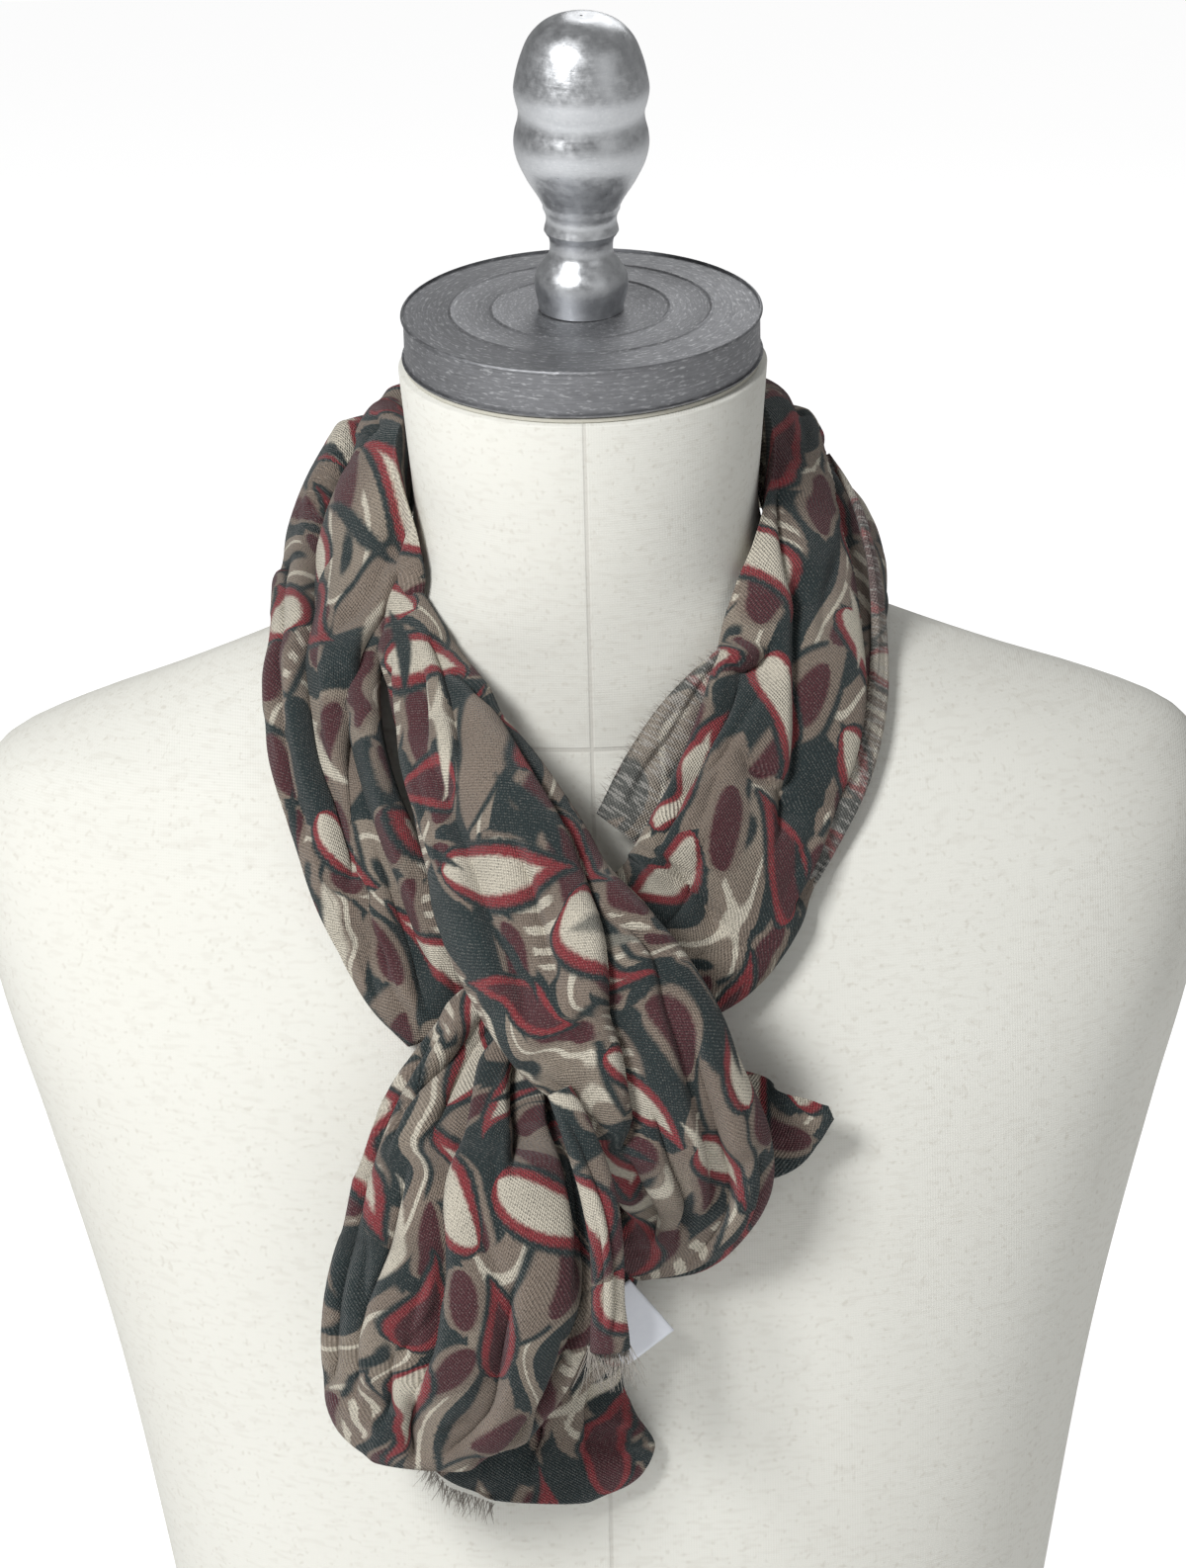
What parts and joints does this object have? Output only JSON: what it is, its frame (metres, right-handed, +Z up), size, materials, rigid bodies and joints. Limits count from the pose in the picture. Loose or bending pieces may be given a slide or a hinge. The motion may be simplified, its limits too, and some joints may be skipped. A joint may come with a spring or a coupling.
{
  "type": "scarf on a limbless dress form",
  "caption": "Printed wool scarf wound round the neck of a limbless dress form and slipped through its own loop at the chest.",
  "frame": {"origin": "centre of the form's flat foot", "axes": "+Z up, -Y the front that the picture shows, +X the viewer's right"},
  "size_m": [0.418, 0.2781, 0.7461],
  "materials": {
    "calico": "off-white calico stretched over the form",
    "board": "plain board under the form",
    "brushed_steel": "satin brushed, with turned rings",
    "felt": "thin pale felt",
    "printed_wool": "matt fine twill, printed in deep blue-green, burgundy, red, taupe and cream",
    "printed_wool_reverse": "paler greyish reverse of the print",
    "white_satin": "white satin, bare"
  },
  "bodies": {
    "root": {"form_torso": "calico", "form_board": "board", "form_cap": "brushed_steel", "form_felt": "felt", "form_finial": "brushed_steel", "scarf_left_outer": "printed_wool", "scarf_neck_wrap": "printed_wool", "scarf_right_front": "printed_wool", "scarf_hanging_end": "printed_wool", "scarf_cross": "printed_wool", "scarf_tucked_end": "printed_wool", "scarf_hanging_pleat": "printed_wool", "scarf_corner": "printed_wool", "scarf_inner_flap": "printed_wool_reverse", "scarf_right_edge": "printed_wool_reverse", "scarf_pleat_fringe": "printed_wool_reverse", "scarf_end_fringe": "printed_wool_reverse", "care_label": "white_satin"}
  },
  "joints": []
}
